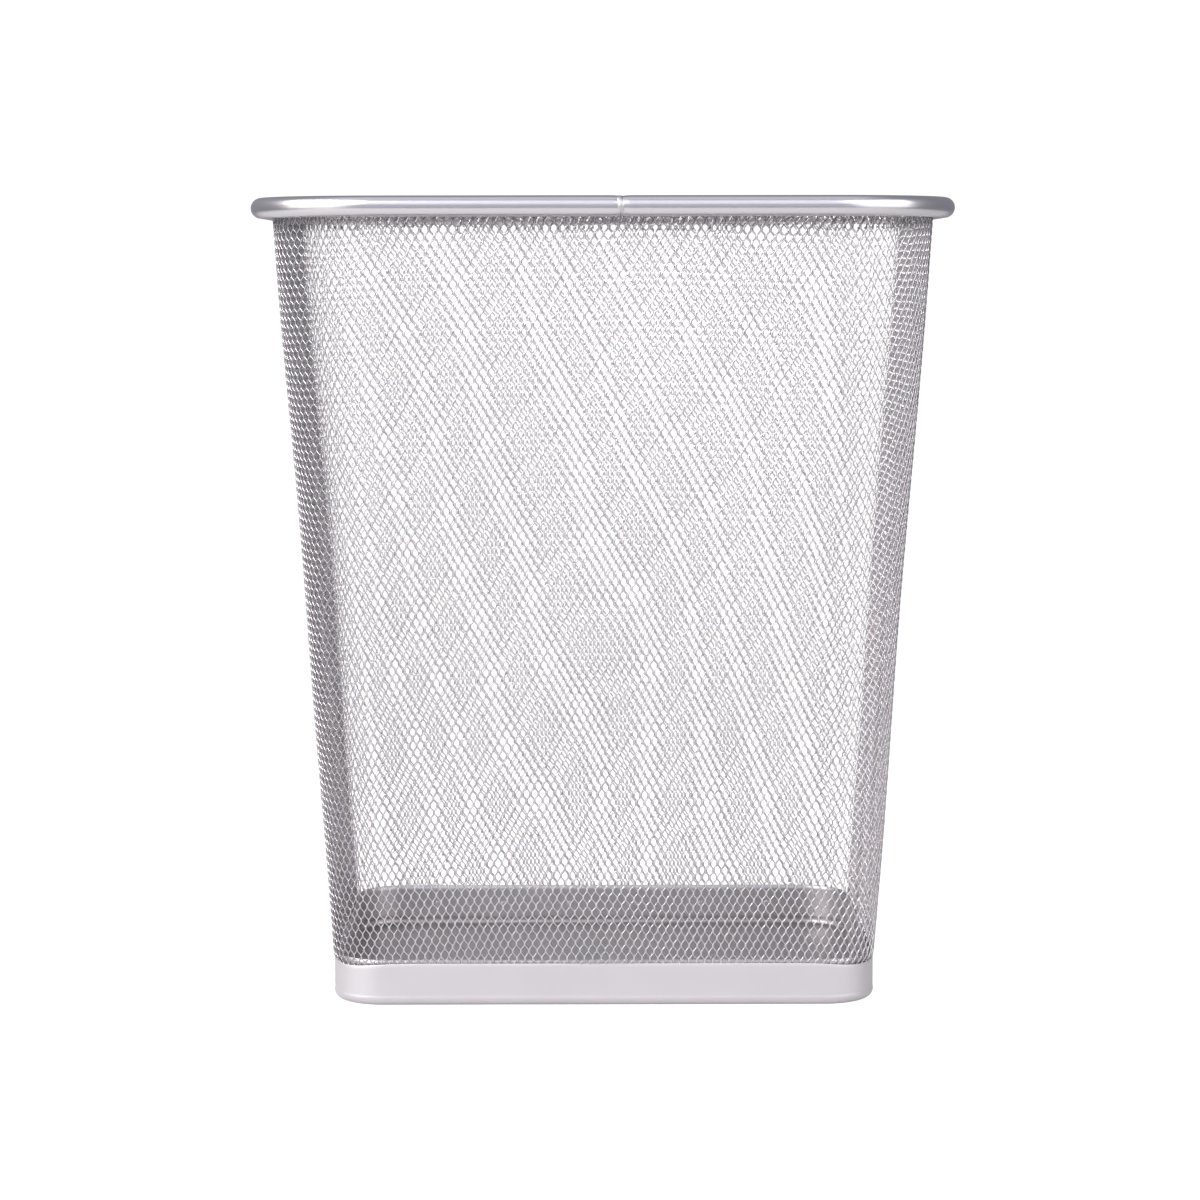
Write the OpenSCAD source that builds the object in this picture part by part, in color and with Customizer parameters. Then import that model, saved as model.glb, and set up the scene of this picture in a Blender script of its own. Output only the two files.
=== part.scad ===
// Open-topped wastebasket: expanded-metal wall, round tube rim and pressed base pan.
// Millimetres, +Z up, front towards -Y. The origin is the centre of the underside.
//
// Every ring of the basket runs round one core rectangle, whose corners are the centres
// of the rounded corners. A profile is drawn with x as the distance outwards from the
// core and y as the height, and ring() runs it round the four sides and four corners.

/* [Overall] */
// Height from the floor to the top of the rim
height = 356; // [330:1:380]
// Outside width of the base pan
base_w = 242; // [200:1:280]
// Outside depth of the base pan
base_d = 183; // [150:1:230]
// Outside corner radius of the base pan
base_corner_r = 23; // [20:0.5:30]

/* [Rim] */
// Outside diameter of the rim tube
tube_d = 9; // [7:0.5:12]
// Wall thickness of the rim tube
tube_wall = 0.9; // [0.6:0.1:1.5]
// How far the tube's centre line stands outwards of the base pan
rim_spread = 29; // [20:0.5:34]
// How far the tube's butt weld is to the right of the middle of the front
weld_offset = 7.5; // [-40:0.5:40]

/* [Wall] */
// Thickness that the expanded metal takes up, strand twist included
mesh_t = 1.1; // [0.8:0.1:1.4]
// Height of the hem, where the metal's top edge is folded inwards and down
hem_h = 7; // [4:0.5:10]

/* [Base] */
// Height of the pan's turned-up band
pan_h = 19; // [14:0.5:26]
// Sheet thickness of the pan
pan_t = 0.8; // [0.6:0.1:1.2]
// Outside radius of the bend between the pan's floor and its band
pan_bend_r = 3.5; // [3:0.5:6]
// How far the clamp band stands above the pan's band
clamp_above_pan = 1.5; // [1:0.5:5]
// Sheet thickness of the clamp band
clamp_t = 0.6; // [0.4:0.1:1]

/* [Welds] */
// Diameter of a spot weld
spot_d = 3; // [2:0.5:4]
// Diameter of a tack weld that holds the hem to the rim
tack_d = 1.8; // [1.2:0.2:2.4]
// How far a weld stands off its sheet
spot_h = 0.4; // [0.3:0.1:0.6]
// Distance between the spot welds down the wall's lap
lap_pitch = 30; // [20:5:50]

/* [Hidden] */
$fn = 96;

// The core rectangle that every ring runs round
core_w = base_w - 2 * base_corner_r;
core_d = base_d - 2 * base_corner_r;

// Rim
rim_r = base_corner_r + rim_spread;
rim_z = height - tube_d / 2;
weld_gap = 1.2;          // space between the tube's two ends, which the weld fills
bead_w = 3.2;            // width of the bead that stands proud of the tube
bead_h = 0.2;            // how far it stands proud

// Wall: tucked inside the pan's band at the bottom, and against the tube's inner side at the top
fit_gap = 0.05;
tuck_r = base_corner_r - pan_t;
mesh_low = pan_bend_r + 0.7;
joggle_low = pan_h - 1;
joggle_high = pan_h + 0.5;
foot_r = base_corner_r + 0.1;
top_r = rim_r - tube_d / 2 - fit_gap;
top_z = rim_z + 0.5;
hem_z = top_z - hem_h;
lean = (top_r - foot_r) / (rim_z - joggle_high);
lean_angle = atan(lean);

// Clamp band
clamp_r = tuck_r - mesh_t;
clamp_low = mesh_low;
clamp_high = pan_h + clamp_above_pan;
clamp_slot = 1.5;        // space between the band's two ends

// Spot welds
tack_z = rim_z - 2;
spot_z = 11;
lap_y = core_d / 2 - 12; // the lap is near the back end of the right-hand side
lap_first_z = 45;

// Outer face of the wall at height z, measured outwards from the core
function wall_r(z) = foot_r + lean * (z - joggle_high);

// Places n points evenly along a side of length run
function spread(n, run) = [for (i = [0:n - 1]) run * ((i + 0.5) / n - 0.5)];

// Puts children on side k: 0 right, 1 back, 2 left, 3 front. There, X points outwards
// from the core's edge and Y runs along the side.
module on_side(k) {
    reach = k % 2 == 0 ? core_w / 2 : core_d / 2;
    rotate([0, 0, 90 * k]) translate([reach, 0, 0]) children();
}

function side_run(k) = k % 2 == 0 ? core_d : core_w;

// Runs a profile round the core: four straight sides and four quarter turns
module ring() {
    for (k = [0:3]) on_side(k) {
        rotate([90, 0, 0]) linear_extrude(side_run(k), center = true) children();
        translate([0, side_run(k) / 2, 0]) rotate_extrude(angle = 90) children();
    }
}

// Puts children where the rim tube's two ends meet, with Z along the tube
module at_rim_joint() {
    on_side(3) translate([rim_r, weld_offset, rim_z]) rotate([90, 0, 0]) children();
}

module rim_tube() {
    color([0.72, 0.72, 0.76]) difference() {
        ring() translate([rim_r, rim_z]) difference() {
            circle(d = tube_d);
            circle(d = tube_d - 2 * tube_wall);
        }
        at_rim_joint() cube([2 * tube_d, 2 * tube_d, weld_gap], center = true);
    }
}

// A plug of weld metal between the tube's ends, under a bead that laps over both
module rim_weld() {
    color([0.8, 0.8, 0.83]) at_rim_joint() union() {
        cylinder(h = weld_gap, d = tube_d, center = true);
        difference() {
            cylinder(h = bead_w, d = tube_d + 2 * bead_h, center = true);
            cylinder(h = 2 * bead_w, d = tube_d, center = true);
        }
    }
}

// The expanded-metal sheet as the closed band of space that its strands fill,
// one sheet thick up to the hem and two sheets thick in it
module mesh_wall() {
    color([0.66, 0.65, 0.68]) ring() polygon([
        [tuck_r, mesh_low],
        [tuck_r, joggle_low],
        [foot_r, joggle_high],
        [wall_r(top_z), top_z],
        [wall_r(top_z) - 2 * mesh_t, top_z],
        [wall_r(hem_z) - 2 * mesh_t, hem_z],
        [wall_r(hem_z) - mesh_t, hem_z],
        [foot_r - mesh_t, joggle_high],
        [tuck_r - mesh_t, joggle_low],
        [tuck_r - mesh_t, mesh_low]
    ]);
}

// A weld of diameter d at height z that stands inwards from the face t inside the wall's outer face
module wall_spot(z, t, d) {
    translate([wall_r(z) - t, 0, z]) rotate([0, lean_angle - 90, 0])
        cylinder(h = spot_h, d = d, $fn = 32);
}

module lap_welds() {
    color([0.6, 0.6, 0.63]) on_side(0)
        for (z = [lap_first_z:lap_pitch:hem_z - spot_d])
            translate([0, lap_y, 0]) wall_spot(z, mesh_t, spot_d);
}

module rim_tack_welds() {
    color([0.6, 0.6, 0.63])
        for (k = [0:3], y = spread(k % 2 == 0 ? 3 : 5, side_run(k)))
            on_side(k) translate([0, y, 0]) wall_spot(tack_z, 2 * mesh_t, tack_d);
}

// Area under a band of radius r and height h, with a bend of radius b at the bottom
module pan_section(r, h, b) {
    translate([0, b]) square([r, h - b]);
    square([r - b, h]);
    translate([r - b, b]) circle(r = b);
}

module base_pan() {
    color([0.8, 0.79, 0.81]) union() {
        ring() difference() {
            pan_section(base_corner_r, pan_h, pan_bend_r);
            translate([0, pan_t]) pan_section(base_corner_r - pan_t, pan_h, pan_bend_r - pan_t);
        }
        translate([-core_w / 2, -core_d / 2, 0]) cube([core_w, core_d, pan_t]);
    }
}

// A strip bent to a ring, with its two ends meeting at the middle of the right-hand side
module clamp_band() {
    color([0.7, 0.69, 0.71]) difference() {
        ring() translate([clamp_r - clamp_t, clamp_low]) square([clamp_t, clamp_high - clamp_low]);
        on_side(0) translate([clamp_r, 0, pan_h / 2]) cube([4 * clamp_t, clamp_slot, 2 * pan_h], center = true);
    }
}

module band_welds() {
    color([0.6, 0.6, 0.63])
        for (k = [0:3], y = spread(k % 2 == 0 ? 4 : 6, side_run(k)))
            on_side(k) translate([clamp_r - clamp_t, y, spot_z]) rotate([0, -90, 0])
                cylinder(h = spot_h, d = spot_d, $fn = 32);
}

rim_tube();
rim_weld();
mesh_wall();
lap_welds();
rim_tack_welds();
base_pan();
clamp_band();
band_welds();
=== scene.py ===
import math

import bpy
import numpy as np
from mathutils import Matrix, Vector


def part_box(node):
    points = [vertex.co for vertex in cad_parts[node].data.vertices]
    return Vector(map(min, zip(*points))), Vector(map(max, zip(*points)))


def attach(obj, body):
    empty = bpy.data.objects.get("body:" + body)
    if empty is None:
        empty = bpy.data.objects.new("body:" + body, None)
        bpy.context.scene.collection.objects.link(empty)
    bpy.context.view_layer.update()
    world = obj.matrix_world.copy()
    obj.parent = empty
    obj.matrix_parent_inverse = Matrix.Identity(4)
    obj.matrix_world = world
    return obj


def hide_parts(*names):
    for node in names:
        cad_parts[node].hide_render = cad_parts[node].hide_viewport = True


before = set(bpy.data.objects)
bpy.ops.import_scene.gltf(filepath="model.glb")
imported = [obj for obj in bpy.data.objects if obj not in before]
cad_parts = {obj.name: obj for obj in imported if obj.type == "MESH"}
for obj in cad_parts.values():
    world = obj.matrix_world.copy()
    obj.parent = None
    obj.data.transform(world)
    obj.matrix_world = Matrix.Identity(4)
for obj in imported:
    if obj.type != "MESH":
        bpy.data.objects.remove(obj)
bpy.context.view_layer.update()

MM = 0.001
RNG = np.random.default_rng(11)

# ---------------------------------------------------------------- sizes from the frame
_, PAN_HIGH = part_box("base_pan")
RIM_LOW, RIM_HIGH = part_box("rim_tube")
WALL_LOW, WALL_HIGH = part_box("mesh_wall")
BAND_LOW, BAND_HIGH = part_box("clamp_band")
WELD_LOW, WELD_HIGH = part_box("rim_weld")

CORNER_R = 23 * MM          # outside corner radius of the base pan
CORE_X = PAN_HIGH.x - CORNER_R
CORE_Y = PAN_HIGH.y - CORNER_R
PAN_TOP = PAN_HIGH.z
TUBE_R = (RIM_HIGH.z - RIM_LOW.z) / 2
RIM_Z = (RIM_HIGH.z + RIM_LOW.z) / 2
RIM_R = RIM_HIGH.x - TUBE_R - CORE_X
WELD_X = (WELD_LOW.x + WELD_HIGH.x) / 2

# ---------------------------------------------------------------- base sizes
PAN_T = 0.8 * MM
PAN_BEND = 3.5 * MM         # outside radius of the bend between the pan's floor and its band
PAN_DIP = 1.6 * MM          # how far the band's top edge dips at the corners
PAN_DIP_RUN = 14 * MM       # how far from a corner's middle most of the dip has gone
FLOOR_RINGS = (0.94, 0.7, 0.4)      # rings that close the pan's floor, as shares of its edge
CLAMP_T = 0.6 * MM
CLAMP_SLOT = 1.5 * MM       # space between the clamp band's two ends

# ---------------------------------------------------------------- wall sizes
SHEET_T = 1.1 * MM          # the space that one layer of the wall fills
FOOT_OUT = 0.1 * MM         # how far the wall stands outwards of the pan, just above it
FOOT_UP = 0.5 * MM          # how far above the pan the wall is that far out
HEM = 7 * MM                # how far the folded top edge comes down inside
STRAND_W = 0.50 * MM        # width of one strand, half the width of a bond
STRAND_T = 0.36 * MM        # thickness of the painted sheet
LOUVRE = math.radians(33)   # how far strands and bonds turn about the upright
BOND_LEN = 1.5 * MM
FIRST_ROW = 0.5 * MM        # height of the lowest row of bonds, before rows are arched
ROW_STEP = 3.39 * MM        # height from one row of bonds to the next
COLUMNS = 226               # bonds in a row, all the way round
SECTORS = 9                 # the wall goes out as this many pieces
LEAN = math.radians(0.9)    # how far columns lean to the left as they rise
ARCH_R = 2.0                # metres: radius that rows follow across a face
JITTER = 0.045 * MM         # how far a bond strays from its place along the sheet
OUT_JITTER = 0.6            # how far it strays outwards, as a share of that
STRAND_PLAN_R = 30 * MM     # corner radius of the ring that strands are shaped for
MEAN_R = 35 * MM            # corner radius of the ring that wander along a row is measured on


# ================================================================ rings
def perimeter(r):
    return 4 * (CORE_X + CORE_Y) + 2 * math.pi * r


def around(share, r):
    """Plan position, and outward direction, a share of the way round at distance r."""
    s = np.mod(share, 1.0) * perimeter(r)
    quarter = r * math.pi / 2
    x = 0.0
    y = -CORE_Y
    turn = -math.pi / 2
    for run, dx, dy in ((CORE_X, 1, 0), (2 * CORE_Y, 0, 1), (2 * CORE_X, -1, 0),
                        (2 * CORE_Y, 0, -1), (CORE_X, 1, 0)):
        along = np.clip(s, 0, run)
        x = x + dx * along
        y = y + dy * along
        s = s - run
        turn = turn + np.clip(s, 0, quarter) / r
        s = s - quarter
    return x + r * np.cos(turn), y + r * np.sin(turn), np.cos(turn), np.sin(turn)


def corner_distance(share, r):
    """How far along the ring each place is from the middle of its nearest corner."""
    s = np.mod(share, 1.0) * perimeter(r)
    half = r * math.pi / 4
    first = CORE_X + half
    second = first + 2 * half + 2 * CORE_Y
    whole = perimeter(r)
    corners = (first, second, whole - second, whole - first)
    return np.min([np.abs(s - c) for c in corners], axis=0)


def ring_points(shares, r, z):
    """A grid of points for the rings r and z (rows) at shares (columns)."""
    x, y, _, _ = around(shares[None, :], r)
    return np.stack([x, y, np.broadcast_to(z, x.shape)], -1)


def section_rings(section, shares):
    """Distances outwards and heights, as two grids, for a section of (outwards, up) points."""
    r, z = np.array(section).T[..., None]
    whole = (len(section), len(shares))
    return np.broadcast_to(r, whole), np.broadcast_to(z, whole)


# ================================================================ meshes
def add_mesh(name, verts, faces, material, flat_faces=None, uv=None):
    """A mesh object from arrays of points and faces, smooth-shaded but for flat_faces."""
    mesh = bpy.data.meshes.new(name)
    mesh.from_pydata(np.asarray(verts).tolist(), [], [list(f) for f in faces])
    smooth = np.ones(len(faces), bool)
    if flat_faces is not None:
        smooth[flat_faces] = False
    mesh.polygons.foreach_set("use_smooth", smooth)
    if uv is not None:
        corners = np.zeros(len(mesh.loops), np.int32)
        mesh.loops.foreach_get("vertex_index", corners)
        layer = mesh.uv_layers.new(name="OFBake")
        layer.data.foreach_set("uv", uv[corners].astype(np.float32).ravel())
    mesh.materials.append(material)
    mesh.validate()
    obj = bpy.data.objects.new(name, mesh)
    bpy.context.scene.collection.objects.link(obj)
    return obj


def place(obj, slot, *nodes):
    """obj rides on the basket and stands for those CAD nodes. slot is not used."""
    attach(obj, "root")
    if nodes:
        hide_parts(*nodes)


def grid_faces(rows, columns, wrap_rows, wrap_columns):
    """Quads over a grid of points. Rows and columns may wrap round."""
    j = np.arange(rows if wrap_rows else rows - 1)
    i = np.arange(columns if wrap_columns else columns - 1)
    j, i = np.meshgrid(j, i, indexing="ij")
    j2 = (j + 1) % rows
    i2 = (i + 1) % columns
    quads = np.stack([j * columns + i, j * columns + i2, j2 * columns + i2, j2 * columns + i], -1)
    return quads.reshape(-1, 4)


CAPS = [-2, -1]             # places of the two end caps in what tube_faces returns


def tube_faces(points):
    """Quads over a grid of points whose rows wrap round to make a tube, then its end caps."""
    count, columns = points.shape[:2]
    faces = [list(f) for f in grid_faces(count, columns, True, False)]
    faces.append([a * columns for a in range(count)])
    faces.append([a * columns + columns - 1 for a in reversed(range(count))])
    return faces


# ================================================================ materials
FLAKE_SCALE = 5200          # grains of metal flake in the paint, per metre
CLOUD_SCALE = 24            # slow clouds of tone, per metre


def new_material(name, metallic, roughness):
    """A material and its node tree, with the Principled shader's plain numbers set."""
    material = bpy.data.materials.new(name)
    material.use_nodes = True
    tree = material.node_tree
    shader = tree.nodes["Principled BSDF"]
    shader.inputs["Metallic"].default_value = metallic
    shader.inputs["Roughness"].default_value = roughness
    return material, tree, shader


def noise(tree, scale, detail):
    """A noise texture in the object's own coordinates, as a value from 0 to 1."""
    coords = tree.nodes.new("ShaderNodeTexCoord")
    texture = tree.nodes.new("ShaderNodeTexNoise")
    texture.inputs["Scale"].default_value = scale
    texture.inputs["Detail"].default_value = detail
    tree.links.new(coords.outputs["Object"], texture.inputs["Vector"])
    return texture.outputs["Fac"]


def ramp(tree, value, low, high):
    """A colour ramp over the middle of a noise value, from one colour to another."""
    node = tree.nodes.new("ShaderNodeValToRGB")
    for element, position, colour in zip(node.color_ramp.elements, (0.3, 0.7), (low, high)):
        element.position = position
        element.color = (*colour, 1)
    tree.links.new(value, node.inputs["Fac"])
    return node.outputs["Color"]


def multiply(tree, first, second):
    """Two colour sockets multiplied together."""
    node = tree.nodes.new("ShaderNodeMix")
    node.data_type = "RGBA"
    node.blend_type = "MULTIPLY"
    # the Mix node has inputs of every type, and these are its factor and its two colours
    factor, a, b = (node.inputs[k] for k in (0, 6, 7))
    factor.default_value = 1.0
    tree.links.new(first, a)
    tree.links.new(second, b)
    return node.outputs[2]


def map_range(tree, value, source, target, smooth=False):
    """A value carried from the range source to the range target, and held at its ends."""
    node = tree.nodes.new("ShaderNodeMapRange")
    if smooth:
        node.interpolation_type = "SMOOTHSTEP"
    for key, number in zip(("From Min", "From Max", "To Min", "To Max"), (*source, *target)):
        node.inputs[key].default_value = number
    tree.links.new(value, node.inputs["Value"])
    return node.outputs["Result"]


def bump(tree, shader, height, distance):
    node = tree.nodes.new("ShaderNodeBump")
    node.inputs["Distance"].default_value = distance
    tree.links.new(height, node.inputs["Height"])
    tree.links.new(node.outputs["Normal"], shader.inputs["Normal"])


def shade(colour, k):
    return tuple(c * k for c in colour)


def silver_paint(name, colour, metallic, roughness, flake=0.04, cloud=0.05, peel=None):
    """Silver paint: metal flake grain, slow clouds of tone, and orange peel where asked.

    flake and cloud are how far the tone strays, and peel is (bumps per metre, their height)."""
    material, tree, shader = new_material(name, metallic, roughness)
    flakes = ramp(tree, noise(tree, FLAKE_SCALE, 1.0),
                  shade(colour, 1 - flake), shade(colour, 1 + flake))
    clouds = ramp(tree, noise(tree, CLOUD_SCALE, 3.0), (1 - cloud,) * 3, (1.0,) * 3)
    tree.links.new(multiply(tree, flakes, clouds), shader.inputs["Base Color"])
    if peel:
        scale, distance = peel
        bump(tree, shader, noise(tree, scale, 2.0), distance)
    return material


def paint_shade_above(material, low, high, least):
    """Painted shade under the rim, where the tube shades the mesh: the base colour falls to a share
    of itself between two heights.
    """
    tree = material.node_tree
    colour = tree.nodes["Principled BSDF"].inputs["Base Color"]
    coords = tree.nodes.new("ShaderNodeTexCoord")
    axes = tree.nodes.new("ShaderNodeSeparateXYZ")
    tree.links.new(coords.outputs["Object"], axes.inputs["Vector"])
    fade = map_range(tree, axes.outputs["Z"], (low, high), (1.0, least))
    tree.links.new(multiply(tree, colour.links[0].from_socket, fade), colour)


MESH_PAINT = silver_paint("mesh_paint", (0.54, 0.515, 0.525), metallic=0.92, roughness=0.24)
# painted shade: the mesh's colour is darker over its top, just under the rim, for the tube's shadow
# there
paint_shade_above(MESH_PAINT, RIM_Z - 12 * MM, RIM_Z - 6 * MM, 0.62)
RIM_PAINT = silver_paint("rim_paint", (0.59, 0.57, 0.58), metallic=0.95, roughness=0.28,
                         flake=0.03, cloud=0.03, peel=(900, 0.02 * MM))
PAN_PAINT = silver_paint("pan_paint", (0.51, 0.49, 0.50), metallic=0.75, roughness=0.52,
                         flake=0.03, cloud=0.04, peel=(700, 0.03 * MM))
# painted shade: a darker paint for the inside of the pan and for the clamp band, for the shade inside
# the basket
PAN_INSIDE_SHADED = silver_paint("pan_inside_shaded", (0.45, 0.43, 0.44), metallic=0.85, roughness=0.4,
                          cloud=0.08, peel=(700, 0.03 * MM))
WELD_PAINT = silver_paint("weld_paint", (0.48, 0.47, 0.485), metallic=0.85, roughness=0.42,
                          flake=0.05, cloud=0.08, peel=(1400, 0.05 * MM))
SPOT_PAINT = silver_paint("spot_paint", (0.45, 0.435, 0.445), metallic=0.85, roughness=0.42,
                          flake=0.05, cloud=0.1, peel=(1400, 0.06 * MM))


# ================================================================ wall
def wall_path():
    """The wall's middle surface in section, from inside the pan up to the rim and over the hem.

    Returns (outwards, up) points, the length w at each of them, and w at the hem's end."""
    inset = SHEET_T / 2
    foot_r = CORNER_R + FOOT_OUT
    foot_z = PAN_TOP + FOOT_UP
    taper = (WALL_HIGH.x - CORE_X - foot_r) / (WALL_HIGH.z - foot_z)

    def wall_r(z):
        return foot_r + taper * (z - foot_z) - inset

    tuck = CORNER_R - PAN_T - inset
    top = WALL_HIGH.z - inset
    hem_end = top - HEM
    points = [(tuck, WALL_LOW.z), (tuck, PAN_TOP - MM), (wall_r(foot_z), foot_z), (wall_r(top), top)]
    for angle in np.radians((45, 90, 135, 180)):
        points.append((wall_r(top) - inset + inset * math.cos(angle), top + inset * math.sin(angle)))
    points.append((wall_r(hem_end) - 2 * inset, hem_end))
    # both ends run on a little past the metal's edges, so that every point has a direction
    spare = 3 * MM
    points.insert(0, (tuck, WALL_LOW.z - spare))
    points.append((wall_r(hem_end - spare) - 2 * inset, hem_end - spare))
    points = np.array(points)
    steps = np.linalg.norm(np.diff(points, axis=0), axis=1)
    lengths = np.concatenate([[0], np.cumsum(steps)]) - spare
    return points, lengths, lengths[-2]


WALL_POINTS, WALL_LENGTHS, WALL_END = wall_path()


def on_wall(share, w, n):
    """Points at a share of the way round, w along the wall's section and n off its middle surface."""
    step = 0.15 * MM
    w = np.clip(w, WALL_LENGTHS[0] + step, WALL_LENGTHS[-1] - step)
    r0, r1 = (np.interp(w + d, WALL_LENGTHS, WALL_POINTS[:, 0]) for d in (-step, step))
    z0, z1 = (np.interp(w + d, WALL_LENGTHS, WALL_POINTS[:, 1]) for d in (-step, step))
    size = np.hypot(r1 - r0, z1 - z0)
    r = np.interp(w, WALL_LENGTHS, WALL_POINTS[:, 0])
    z = np.interp(w, WALL_LENGTHS, WALL_POINTS[:, 1])
    x, y, out_x, out_y = around(share, r)
    out = n * (z1 - z0) / size
    return np.stack([x + out * out_x, y + out * out_y, z - n * (r1 - r0) / size], -1)


# Directions on the wall are (sideways, up, out)
SIDES = (1, -1)             # a strand rises to the right or to the left
BOND_ACROSS = np.array([math.cos(LOUVRE), 0, math.sin(LOUVRE)])
BOND_FACE = np.array([-math.sin(LOUVRE), 0, math.cos(LOUVRE)])
STRAND_PULL = 0.12          # how far a strand keeps its bonds' upright direction
STRAND_CUTS = (0.28, 0.72)  # where a strand has sections between its two bonds


def strand_section(t, side, pitch):
    """Four corners of a strand's section at t, from 0 at its lower bond to 1 at its upper one,
    and the share of a row's height that the section is up.

    Each corner is in metres from the straight line between the two bonds' middles."""
    start = side * STRAND_W / 2 * BOND_ACROSS + [0, BOND_LEN / 2, 0]
    end = -side * STRAND_W / 2 * BOND_ACROSS + [side * pitch / 2, ROW_STEP - BOND_LEN / 2, 0]
    pull = STRAND_PULL * np.array([0, ROW_STEP - BOND_LEN, 0])
    curve = (2 * t**3 - 3 * t**2 + 1, t**3 - 2 * t**2 + t, 3 * t**2 - 2 * t**3, t**3 - t**2)
    slope = (6 * t**2 - 6 * t, 3 * t**2 - 4 * t + 1, 6 * t - 6 * t**2, 3 * t**2 - 2 * t)
    centre = curve[0] * start + curve[1] * pull + curve[2] * end + curve[3] * pull
    along = slope[0] * start + slope[1] * pull + slope[2] * end + slope[3] * pull
    along = along / np.linalg.norm(along)
    width = BOND_ACROSS - BOND_ACROSS.dot(along) * along
    width = width / np.linalg.norm(width)
    face = np.cross(width, along)
    height = centre[1] / ROW_STEP
    centre = centre - [side * pitch / 2 * height, ROW_STEP * height, 0]
    signs = [(-1, 1), (1, 1), (1, -1), (-1, -1)]
    return height, [centre + a * STRAND_W / 2 * width + b * STRAND_T / 2 * face for a, b in signs]


def bond_template():
    """The 28 points that belong to a bond: two rings of 6 round it, and two sections of 4
    on each of the two strands that rise from it. Each row is columns, rows, sideways, up, out."""
    pitch = perimeter(STRAND_PLAN_R) / COLUMNS
    ring = [a * STRAND_W * BOND_ACROSS + b * STRAND_T / 2 * BOND_FACE
            for a, b in ((-1, 1), (0, 1), (1, 1), (1, -1), (0, -1), (-1, -1))]
    rows = []
    for up in (-1, 1):
        rows += [[0, 0, *(p + [0, up * BOND_LEN / 2, 0])] for p in ring]
    for side in SIDES:
        for t in STRAND_CUTS:
            height, corners = strand_section(t, side, pitch)
            rows += [[side * height / 2, height, *p] for p in corners]
    return np.array(rows)


# A bond's 28 points by number: those that its own strands start from, those of its strands'
# sections, and those that strands from the row below end on, each for strands to either side
BOND_POINTS = 28
BOND_SIDES = 6
START = {1: (7, 8, 9, 10), -1: (6, 7, 10, 11)}
MIDDLE = {1: ((12, 13, 14, 15), (16, 17, 18, 19)), -1: ((20, 21, 22, 23), (24, 25, 26, 27))}
END = {1: (0, 1, 4, 5), -1: (1, 2, 3, 4)}


def upper_bond(row, column, side):
    """Array places of the bonds that the strands rising to that side end on."""
    step = row % 2 if side == 1 else row % 2 - 1
    return np.minimum(row + 1, len(row) - 1), (column + step) % COLUMNS


def arch(share):
    """How far up a row is from its level in the middle of a wide face: nought there, and
    lowest at the corners, from the way that the sheet was drawn out."""
    count = 720
    s = np.linspace(0, 1, count, endpoint=False)
    near = corner_distance(s, MEAN_R)
    x, y, _, _ = around(s, MEAN_R)
    on_wide = np.abs(y) / (CORE_Y + MEAN_R) > np.abs(x) / (CORE_X + MEAN_R)
    reach = np.where(on_wide, CORE_X, CORE_Y) + MEAN_R * math.pi / 4
    rise = (reach**2 - (reach - near)**2) / (2 * ARCH_R)
    window = np.hanning(61)
    smooth = np.convolve(np.tile(rise, 3), window / window.sum(), "same")[count:2 * count]
    return np.interp(np.mod(share, 1.0), s, smooth, period=1.0) - rise.max()


def waves(share, w):
    """Slow wander of the lattice, sideways, up and out, as a drawn sheet has."""
    turn = 2 * math.pi * share
    side = 0.8 * np.sin(5 * turn + 17 * w + 0.4) + 0.4 * np.sin(11 * turn - 32 * w + 1.9)
    up = 0.5 * np.sin(7 * turn + 13 * w + 2.2) + 0.3 * np.sin(13 * turn + 41 * w)
    out = 0.35 * np.sin(6 * turn + 19 * w + 1.0) + 0.2 * np.sin(14 * turn - 37 * w + 2.5)
    return side * MM, up * MM, out * MM


def lattice():
    """Each bond's row and column, and its place on the wall, as arrays of rows by columns."""
    rows = int(WALL_END / ROW_STEP) + 3
    row, column = np.meshgrid(np.arange(rows), np.arange(COLUMNS), indexing="ij")
    w = row * ROW_STEP + FIRST_ROW
    share = (column + 0.5 * (row % 2)) / COLUMNS - math.tan(LEAN) * w / perimeter(MEAN_R)
    side, up, out = waves(share, w)
    # the hem and the pan hold the sheet flat
    free = np.clip((WALL_END - HEM - w) / (30 * MM), 0, 1) * np.clip(w / (20 * MM), 0, 1)
    side_jitter, up_jitter, out_jitter = RNG.normal(0, JITTER, (3, *w.shape))
    w = w + arch(share) + up + up_jitter
    share = share + (side + side_jitter) / perimeter(MEAN_R)
    return row, column, share, w, out * free + out_jitter * OUT_JITTER


def bond_points(row, column, share, w, n):
    """The place on the wall of each bond's 28 points, from the places of the bonds."""
    template = bond_template()
    points_share = share[..., None] + template[:, 0] / COLUMNS
    points_w = w[..., None] + template[:, 1] * ROW_STEP + template[:, 3]
    points_r = np.interp(points_w, WALL_LENGTHS, WALL_POINTS[:, 0])
    points_share = points_share + template[:, 2] / perimeter(points_r)
    points_n = n[..., None] + template[:, 4]
    # a strand's sections follow the bond that it ends on, the more the nearer they are to it
    for side in SIDES:
        upper = upper_bond(row, column, side)
        shift_share = share[upper] - share - side * 0.5 / COLUMNS
        shift_share = shift_share - np.round(shift_share)
        shift_w = w[upper] - w - ROW_STEP
        shift_n = n[upper] - n
        for section in MIDDLE[side]:
            height = template[section[0], 1]
            section = list(section)
            points_share[..., section] += (height * shift_share)[..., None]
            points_w[..., section] += (height * shift_w)[..., None]
            points_n[..., section] += (height * shift_n)[..., None]
    return points_share, points_w, points_n


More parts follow.
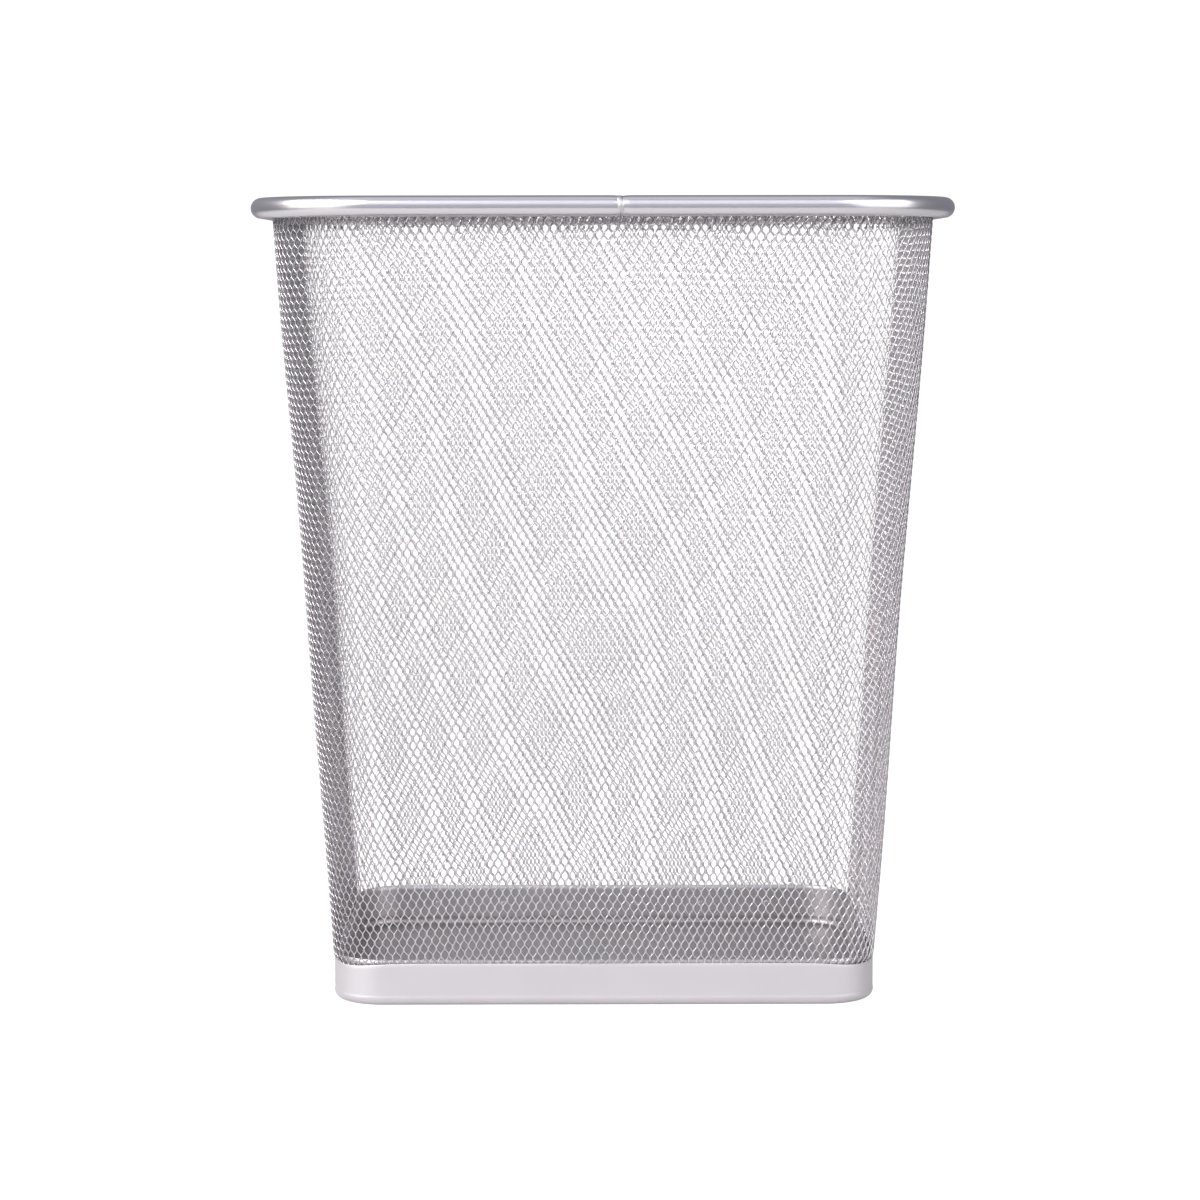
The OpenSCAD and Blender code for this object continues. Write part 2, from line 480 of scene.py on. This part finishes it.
def wall_faces(row, column, alive):
    """Quads for the bonds that are alive and for their strands, the sector that each quad
    belongs to, and whether it closes a cut end."""
    sector = column * SECTORS // COLUMNS
    base = (row * COLUMNS + column) * BOND_POINTS
    faces = []
    owners = []
    cut = []

    def add(which, corners, owner, is_cut=False):
        """A quad for every bond in which; corners are four arrays of point numbers."""
        quads = np.stack([c[which] for c in corners], -1)
        faces.append(quads)
        owners.append(owner[which])
        cut.append(np.full(len(quads), is_cut))

    for a in range(BOND_SIDES):
        b = (a + 1) % BOND_SIDES
        add(alive, (base + a, base + b, base + BOND_SIDES + b, base + BOND_SIDES + a), sector)
    for side in SIDES:
        upper = upper_bond(row, column, side)
        upper_alive = alive[upper] & (row < len(row) - 1)
        whole = alive & upper_alive
        sections = [[base + k for k in START[side]]]
        sections += [[base + k for k in section] for section in MIDDLE[side]]
        sections += [[base[upper] + k for k in END[side]]]
        for lower, higher in zip(sections[:-1], sections[1:]):
            for k in range(4):
                m = (k + 1) % 4
                add(whole, (lower[k], lower[m], higher[m], higher[k]), sector)
        crossing = whole & (sector != sector[upper])
        add(crossing, sections[-1], sector, True)
        add(crossing, sections[-1][::-1], sector[upper], True)
        add(alive & ~whole, sections[0], sector, True)
        add(~alive & upper_alive, sections[-1][::-1], sector[upper], True)
    for side in SIDES:
        add(alive & (row == 0), [base + k for k in END[side][::-1]], sector, True)
    return np.concatenate(faces), np.concatenate(owners), np.concatenate(cut)


def build_wall():
    """The expanded metal, as one piece for each sector of the way round."""
    row, column, share, w, n = lattice()
    places = bond_points(row, column, share, w, n)
    points = on_wall(*places).reshape(-1, 3)
    uv = np.stack([places[0], places[1] / WALL_END], -1).reshape(-1, 2)
    faces, owners, cut = wall_faces(row, column, (w > 0) & (w < WALL_END))
    for k in range(SECTORS):
        mine = owners == k
        used, local = np.unique(faces[mine], return_inverse=True)
        local_uv = uv[used]
        local_uv[:, 0] = np.mod(local_uv[:, 0] - k / SECTORS + 0.5, 1.0)
        local_uv = (local_uv - local_uv.min(0)) / np.ptp(local_uv, axis=0)
        piece = add_mesh(f"expanded_mesh_{k + 1}", points[used], local.reshape(-1, 4), MESH_PAINT,
                         cut[mine], local_uv)
        place(piece, "mesh_paint", "mesh_wall")


# ================================================================ rim
def build_rim():
    """The tube, whose two ends meet at the weld and are pinched a little there."""
    whole = perimeter(RIM_R)
    gap = 0.5 * MM / whole      # half the space between the two ends
    near_weld = np.geomspace(0.3, 20, 16) * MM / whole
    shares = np.concatenate([[gap], near_weld + gap, np.linspace(0.03, 0.97, 440),
                             1 - gap - near_weld[::-1], [1 - gap]])
    from_weld = np.minimum(shares, 1 - shares) * whole
    pinch = 1 - 0.07 * np.exp(-(from_weld / (2.2 * MM)) ** 2)
    angles = np.linspace(0, 2 * math.pi, 48, endpoint=False)[:, None]
    r = RIM_R + TUBE_R * pinch * np.cos(angles)
    z = RIM_Z + TUBE_R * pinch * np.sin(angles)
    points = ring_points(shares + WELD_X / whole, r, z)
    rim = add_mesh("rim", points.reshape(-1, 3), tube_faces(points), RIM_PAINT, CAPS)
    place(rim, "rim_paint", "rim_tube")


def build_rim_weld():
    """The bead round the tube where its ends meet: lumpy, and a little slanted."""
    angles = np.linspace(0, 2 * math.pi, 48, endpoint=False)[:, None]
    steps = np.linspace(-1, 1, 15)[None, :]
    lumps = 1 + 0.12 * np.sin(3 * angles + 1.0) + 0.06 * np.sin(7 * angles + 2.0)
    slant = -0.8 * MM * np.sin(angles) + 0.2 * MM * np.sin(4 * angles)
    half_width = 1.2 * MM * lumps
    height = 0.32 * MM * lumps
    foot = TUBE_R * 0.92        # the bead's edges start just inside the pinched tube
    bead = foot + height * np.sqrt(np.clip(1 - steps**2, 0, 1))
    x = WELD_X + slant + half_width * steps
    y = -CORE_Y - RIM_R - bead * np.cos(angles)
    z = RIM_Z + bead * np.sin(angles)
    points = np.stack([x, y, z], -1)
    faces = [face[::-1] for face in tube_faces(points)]
    weld = add_mesh("rim_butt_weld", points.reshape(-1, 3), faces, WELD_PAINT, CAPS)
    place(weld, "weld_paint", "rim_weld")


# ================================================================ base
def pan_section():
    """The pan in section as (outwards, up) points: up the outside, over the lip and down the
    inside. Also the number of the point at the lip's inner edge."""
    band_r = CORNER_R - 0.15 * MM       # the bend stands this little proud of the band above it
    corner = CORNER_R - PAN_BEND
    arcs = np.radians(np.linspace(0, 90, 9))
    outer, inner = ([(corner + bend * math.sin(a), PAN_BEND - bend * math.cos(a)) for a in arcs]
                    for bend in (PAN_BEND, PAN_BEND - PAN_T))
    step = [(CORNER_R, PAN_BEND + 0.35 * MM), (band_r, PAN_BEND + 0.85 * MM)]
    levels = np.linspace(PAN_BEND + 1.5 * MM, PAN_TOP - 0.3 * MM, 9)
    lip = [(band_r - 0.1 * PAN_T, PAN_TOP - 0.1 * MM), (band_r - 0.4 * PAN_T, PAN_TOP),
           (CORNER_R - 0.9 * PAN_T, PAN_TOP - 0.1 * MM)]
    outside = outer + step + [(band_r, z) for z in levels] + lip
    inside = [(CORNER_R - PAN_T, z) for z in levels[::-1]] + inner[::-1]
    return outside + inside, len(outside) - 1


def build_pan():
    """The pressed pan. Its inside has a darker coat than its outside: painted shade for the shade
    inside the basket.
    """
    section, lip_point = pan_section()
    shares = np.linspace(0, 1, 420, endpoint=False)
    r, z = section_rings(section, shares)
    dip = PAN_DIP * np.exp(-(corner_distance(shares[None, :], r) / PAN_DIP_RUN) ** 2)
    z = z - dip * np.clip((z - PAN_BEND) / (PAN_TOP - PAN_BEND), 0, 1)
    points = ring_points(shares, r, z)
    count, columns = points.shape[:2]
    neighbours = [(a, (a + 1) % columns) for a in range(columns)]
    verts = [points.reshape(-1, 3)]
    faces = [list(f) for f in grid_faces(count, columns, False, True)]
    inside = [k >= lip_point * columns for k in range(len(faces))]
    # the underside, and then the inside of the floor
    for edge, order in ((0, -1), (count - 1, 1)):
        previous = edge * columns
        for scale in FLOOR_RINGS:
            start = sum(len(v) for v in verts)
            verts.append(points[edge] * [scale, scale, 1])
            faces += [[previous + a, previous + b, start + b, start + a][::order]
                      for a, b in neighbours]
            previous = start
        faces.append([previous + a for a in range(columns)][::order])
        inside += [edge > 0] * (len(faces) - len(inside))
    pan = add_mesh("pan", np.concatenate(verts), faces, PAN_PAINT)
    # the inside faces take the darker paint, painted shade
    pan.data.materials.append(PAN_INSIDE_SHADED)
    pan.data.polygons.foreach_set("material_index", np.array(inside, np.int32))
    place(pan, "pan_paint", "base_pan")


def build_clamp():
    """The strip round the inside of the mesh, whose ends meet at the middle of the right side."""
    outer = CORNER_R - PAN_T - SHEET_T
    gap = CLAMP_SLOT / 2 / perimeter(outer)
    shares = 0.25 + np.linspace(gap, 1 - gap, 400)
    levels = np.linspace(BAND_LOW.z, BAND_HIGH.z, 8)
    section = [(outer, z) for z in levels] + [(outer - CLAMP_T, z) for z in levels[::-1]]
    points = ring_points(shares, *section_rings(section, shares))
    # the clamp band takes the pan's darker inside paint, painted shade
    clamp = add_mesh("clamp", points.reshape(-1, 3), tube_faces(points), PAN_INSIDE_SHADED, CAPS)
    place(clamp, "pan_paint", "clamp_band")


# ================================================================ spot welds
def spot_centres(node):
    """The middle of each separate weld in a CAD node whose welds are well apart."""
    points = np.array([v.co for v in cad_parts[node].data.vertices])
    while len(points):
        near = np.linalg.norm(points - points[0], axis=1) < 5 * MM
        yield (points[near].min(0) + points[near].max(0)) / 2
        points = points[~near]


def nugget(centre, radius, height):
    """A grid of points for one weld: low and uneven, with a dimple in the middle."""
    angles = np.linspace(0, 2 * math.pi, 24, endpoint=False)[None, :]
    rho = np.array([0.1, 0.25, 0.45, 0.65, 0.82, 0.94, 1.0])[:, None]
    core = np.clip(centre, (-CORE_X, -CORE_Y, centre[2]), (CORE_X, CORE_Y, centre[2]))
    inward = (core - centre) / np.linalg.norm(core - centre)
    upward = np.array((0, 0, 1))
    sideways = np.cross(inward, upward)
    phase = RNG.uniform(0, 6, 3)
    edge = 1 + 0.1 * np.sin(2 * angles + phase[0]) + 0.07 * np.sin(5 * angles + phase[1])
    rise = np.sqrt(1 - rho**2) - 0.45 * np.exp(-(rho / 0.4) ** 2)
    rise = rise * (1 + 0.12 * np.sin(3 * angles + phase[2]))
    across, along = ((radius * rho * edge * f(angles))[..., None] for f in (np.cos, np.sin))
    # the weld's edge is sunk into its sheet
    lift = (height * (rise - 0.4))[..., None]
    return centre + across * sideways + along * upward + lift * inward


def build_spots(name, node, radius, height):
    """Nuggets, all in one piece, in place of a CAD node's plain discs."""
    verts = []
    faces = []
    for centre in spot_centres(node):
        points = nugget(centre, radius, height)
        count, columns = points.shape[:2]
        start = sum(len(v) for v in verts)
        verts.append(points.reshape(-1, 3))
        faces += [[start + k for k in quad] for quad in grid_faces(count, columns, False, True)]
        faces.append([start + k for k in range(columns)][::-1])
        faces.append([start + (count - 1) * columns + k for k in range(columns)])
    spots = add_mesh(name, np.concatenate(verts), faces, SPOT_PAINT)
    place(spots, "weld_paint", node)


# ================================================================ stage
BACKDROP_GLOW = 1.06
BACKDROP_R = 9              # metres
TABLE = 0.95                # metres: how far the floor runs from the basket's middle
NEAR = 0.2                  # metres: how far out the floor starts to fade into the backdrop


def white_surface(name, albedo, glow, far_glow=None):
    """White that glows a little of its own. With far_glow, it fades to a plain glow far out."""
    material, tree, shader = new_material(name, metallic=0.0, roughness=0.6)
    shader.inputs["Base Color"].default_value = (albedo, albedo * 0.98, albedo * 0.99, 1)
    shader.inputs["Specular IOR Level"].default_value = 0.0
    shader.inputs["Emission Color"].default_value = (1, 0.985, 0.99, 1)
    shader.inputs["Emission Strength"].default_value = glow
    if far_glow is not None:
        coords = tree.nodes.new("ShaderNodeTexCoord")
        far = tree.nodes.new("ShaderNodeVectorMath")
        far.operation = "LENGTH"
        tree.links.new(coords.outputs["Object"], far.inputs[0])
        for socket, ends in (("Emission Strength", (glow, far_glow)), ("Base Color", (albedo, 0))):
            fade = map_range(tree, far.outputs["Value"], (NEAR, TABLE), ends, smooth=True)
            tree.links.new(fade, shader.inputs[socket])
    return material


def glowing(name, strength):
    """A material that only glows, evenly."""
    material = bpy.data.materials.new(name)
    material.use_nodes = True
    tree = material.node_tree
    tree.nodes.clear()
    emission = tree.nodes.new("ShaderNodeEmission")
    output = tree.nodes.new("ShaderNodeOutputMaterial")
    emission.inputs["Strength"].default_value = strength
    tree.links.new(emission.outputs["Emission"], output.inputs["Surface"])
    return material


def seen_by(obj, camera):
    """Shows obj to the camera alone, or to everything but the camera."""
    obj.visible_camera = camera
    obj.visible_diffuse = not camera
    obj.visible_glossy = not camera
    obj.visible_transmission = not camera
    obj.visible_shadow = False


def build_stage():
    """A pale floor that the camera sees fade into a white backdrop, a table top that only
    lights the basket and is mirrored in it, and a dim studio round them."""
    square = [(-TABLE, -TABLE, 0), (TABLE, -TABLE, 0), (TABLE, TABLE, 0), (-TABLE, TABLE, 0)]
    floor_white = white_surface("floor_white", albedo=0.3, glow=0.88, far_glow=BACKDROP_GLOW)
    seen_by(add_mesh("floor", square, [(0, 1, 2, 3)], floor_white), camera=True)
    table_white = white_surface("table_white", albedo=0.4, glow=0.3)
    seen_by(add_mesh("table", square, [(0, 1, 2, 3)], table_white), camera=False)

    bpy.ops.mesh.primitive_uv_sphere_add(segments=48, ring_count=24, radius=BACKDROP_R)
    backdrop = bpy.context.object
    backdrop.name = "backdrop"
    backdrop.data.materials.append(glowing("backdrop_white", BACKDROP_GLOW))
    seen_by(backdrop, camera=True)

    world = bpy.data.worlds.new("studio")
    bpy.context.scene.world = world
    world.use_nodes = True
    background = world.node_tree.nodes["Background"]
    background.inputs["Color"].default_value = (0.8, 0.82, 0.96, 1)
    background.inputs["Strength"].default_value = 0.3


LIGHTS_AIM = np.array([0, 0, 0.25])     # metres: near the basket's middle


def softbox(name, azimuth, elevation, size, glow, colour=(1, 1, 1), distance=1.8):
    """An area light, as bright all over as glow times white. Azimuth 0 is in front, +90 on
    the right, and size is its width and height."""
    a = math.radians(azimuth)
    e = math.radians(elevation)
    direction = np.array([math.sin(a) * math.cos(e), -math.cos(a) * math.cos(e), math.sin(e)])
    data = bpy.data.lights.new(name, "AREA")
    data.shape = "RECTANGLE"
    data.size, data.size_y = size
    data.energy = glow * math.pi * data.size * data.size_y
    data.color = colour
    light = bpy.data.objects.new(name, data)
    turn = Matrix.Rotation(a, 4, "Z") @ Matrix.Rotation(math.radians(90) - e, 4, "X")
    light.matrix_world = Matrix.Translation(LIGHTS_AIM + distance * direction) @ turn
    light.visible_camera = False
    bpy.context.scene.collection.objects.link(light)


def build_lights():
    softbox("key_left_high", azimuth=-57, elevation=38, size=(1.8, 0.95), glow=12.5)
    softbox("key_left_low", azimuth=-57, elevation=6, size=(1.8, 0.95), glow=1.8)
    softbox("key_right_high", azimuth=51, elevation=36, size=(1.6, 0.95), glow=3.6)
    softbox("key_right_low", azimuth=51, elevation=6, size=(1.6, 0.95), glow=1.8)
    softbox("high_front", azimuth=0, elevation=38, size=(1.6, 1.4), glow=0.88,
            colour=(0.94, 0.96, 1.1))
    softbox("fill", azimuth=0, elevation=0, size=(2.2, 0.5), glow=0.56,
            colour=(0.92, 0.94, 1.15), distance=2.2)
    softbox("overhead", azimuth=0, elevation=88, size=(1.6, 1.2), glow=0.58,
            colour=(0.95, 0.95, 1.05))


def build_camera():
    """The camera looks slightly down at the front, from very nearly square on."""
    spot = (-0.0066, -1.5319, 0.3233)
    data = bpy.data.cameras.new("camera")
    data.sensor_width = 36
    data.lens = 99.2
    camera = bpy.data.objects.new("camera", data)
    heading = math.radians(-0.2)
    tilt = math.radians(5.654)
    roll = math.radians(0.08)
    turn = (Matrix.Rotation(heading, 4, "Z") @ Matrix.Rotation(math.pi / 2 - tilt, 4, "X")
            @ Matrix.Rotation(-roll, 4, "Z"))
    camera.matrix_world = Matrix.Translation(spot) @ turn
    bpy.context.scene.collection.objects.link(camera)
    bpy.context.scene.camera = camera


build_wall()
build_rim()
build_rim_weld()
build_pan()
build_clamp()
build_spots("lap_nuggets", "lap_welds", radius=1.5 * MM, height=0.5 * MM)
build_spots("rim_tacks", "rim_tack_welds", radius=0.9 * MM, height=0.5 * MM)
build_spots("band_nuggets", "band_welds", radius=1.5 * MM, height=0.4 * MM)
build_stage()
build_lights()
build_camera()
bpy.context.scene.view_settings.view_transform = "Standard"
